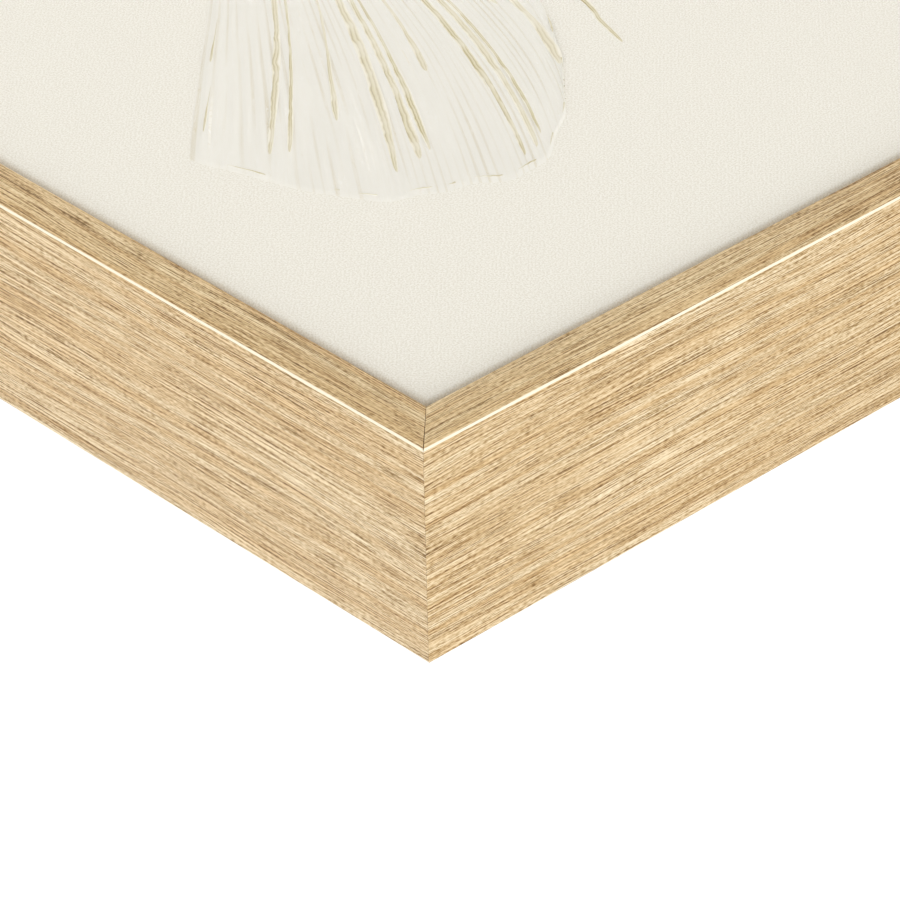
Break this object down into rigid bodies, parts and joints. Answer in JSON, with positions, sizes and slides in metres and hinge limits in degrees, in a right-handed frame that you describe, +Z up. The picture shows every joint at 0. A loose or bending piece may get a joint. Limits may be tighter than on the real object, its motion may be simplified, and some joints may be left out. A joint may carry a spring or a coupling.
{
  "type": "floating frame",
  "caption": "Upright floater frame: a mitred L-section oak-foil moulding holding a stretched canvas off its wall by a narrow shadow gap, with hangers, bumpers and stretcher keys behind.",
  "frame": {"origin": "centre of the underside of the upright frame's box", "axes": "+Z up along the frame's height, +X along its width to the viewer's right, the picture faces -Y and the hanging hardware +Y"},
  "size_m": [0.426, 0.0506, 0.526],
  "materials": {
    "oak_foil": "satin light oak wood-grain foil over the moulding's front, inside and outer faces",
    "pine": "planed, unfinished",
    "beech": "sawn, unfinished",
    "primed_canvas": "primed plain-weave cotton with a white relief and thin ochre strokes",
    "zinc_plate": "bright zinc plating",
    "steel": "rolled strip",
    "rubber": "matt moulded"
  },
  "bodies": {
    "frame": {"rail_top": "oak_foil", "rail_right": "oak_foil", "rail_bottom": "oak_foil", "rail_left": "oak_foil", "stretcher_top": "pine", "stretcher_right": "pine", "stretcher_bottom": "pine", "stretcher_left": "pine", "canvas": "primed_canvas", "v_nail_top_right_outer": "steel", "v_nail_top_right_inner": "steel", "v_nail_bottom_right_outer": "steel", "v_nail_bottom_right_inner": "steel", "v_nail_bottom_left_outer": "steel", "v_nail_bottom_left_inner": "steel", "v_nail_top_left_outer": "steel", "v_nail_top_left_inner": "steel", "fixing_screw_top_1": "zinc_plate", "fixing_screw_top_2": "zinc_plate", "fixing_screw_right_1": "zinc_plate", "fixing_screw_right_2": "zinc_plate", "fixing_screw_bottom_1": "zinc_plate", "fixing_screw_bottom_2": "zinc_plate", "fixing_screw_left_1": "zinc_plate", "fixing_screw_left_2": "zinc_plate", "hanger_strap_left": "zinc_plate", "strap_screw_left_1": "zinc_plate", "strap_screw_left_2": "zinc_plate", "bumper_left": "rubber", "hanger_strap_right": "zinc_plate", "strap_screw_right_1": "zinc_plate", "strap_screw_right_2": "zinc_plate", "bumper_right": "rubber"},
    "key_top_right_across": {"key_top_right_across": "beech"},
    "key_top_right_upright": {"key_top_right_upright": "beech"},
    "key_bottom_right_across": {"key_bottom_right_across": "beech"},
    "key_bottom_right_upright": {"key_bottom_right_upright": "beech"},
    "key_bottom_left_across": {"key_bottom_left_across": "beech"},
    "key_bottom_left_upright": {"key_bottom_left_upright": "beech"},
    "key_top_left_across": {"key_top_left_across": "beech"},
    "key_top_left_upright": {"key_top_left_upright": "beech"},
    "d_ring_left": {"d_ring_left": "zinc_plate"},
    "d_ring_right": {"d_ring_right": "zinc_plate"}
  },
  "joints": [
    {"name": "key_top_right_across_slide", "type": "slide", "parent": "frame", "child": "key_top_right_across", "axis": [-1, 0, 0], "range_m": [0, 0.012]},
    {"name": "key_top_right_upright_slide", "type": "slide", "parent": "frame", "child": "key_top_right_upright", "axis": [0, 0, -1], "range_m": [0, 0.012]},
    {"name": "key_bottom_right_across_slide", "type": "slide", "parent": "frame", "child": "key_bottom_right_across", "axis": [-1, 0, 0], "range_m": [0, 0.012]},
    {"name": "key_bottom_right_upright_slide", "type": "slide", "parent": "frame", "child": "key_bottom_right_upright", "axis": [0, 0, 1], "range_m": [0, 0.012]},
    {"name": "key_bottom_left_across_slide", "type": "slide", "parent": "frame", "child": "key_bottom_left_across", "axis": [1, 0, 0], "range_m": [0, 0.012]},
    {"name": "key_bottom_left_upright_slide", "type": "slide", "parent": "frame", "child": "key_bottom_left_upright", "axis": [0, 0, 1], "range_m": [0, 0.012]},
    {"name": "key_top_left_across_slide", "type": "slide", "parent": "frame", "child": "key_top_left_across", "axis": [1, 0, 0], "range_m": [0, 0.012]},
    {"name": "key_top_left_upright_slide", "type": "slide", "parent": "frame", "child": "key_top_left_upright", "axis": [0, 0, -1], "range_m": [0, 0.012]},
    {"name": "d_ring_left_hinge", "type": "hinge", "parent": "frame", "child": "d_ring_left", "pos_m": [-0.198, 0.02217, 0.351], "axis": [1, 0, 0], "range_deg": [0, 175]},
    {"name": "d_ring_right_hinge", "type": "hinge", "parent": "frame", "child": "d_ring_right", "pos_m": [0.198, 0.02217, 0.351], "axis": [1, 0, 0], "range_deg": [0, 175]}
  ]
}
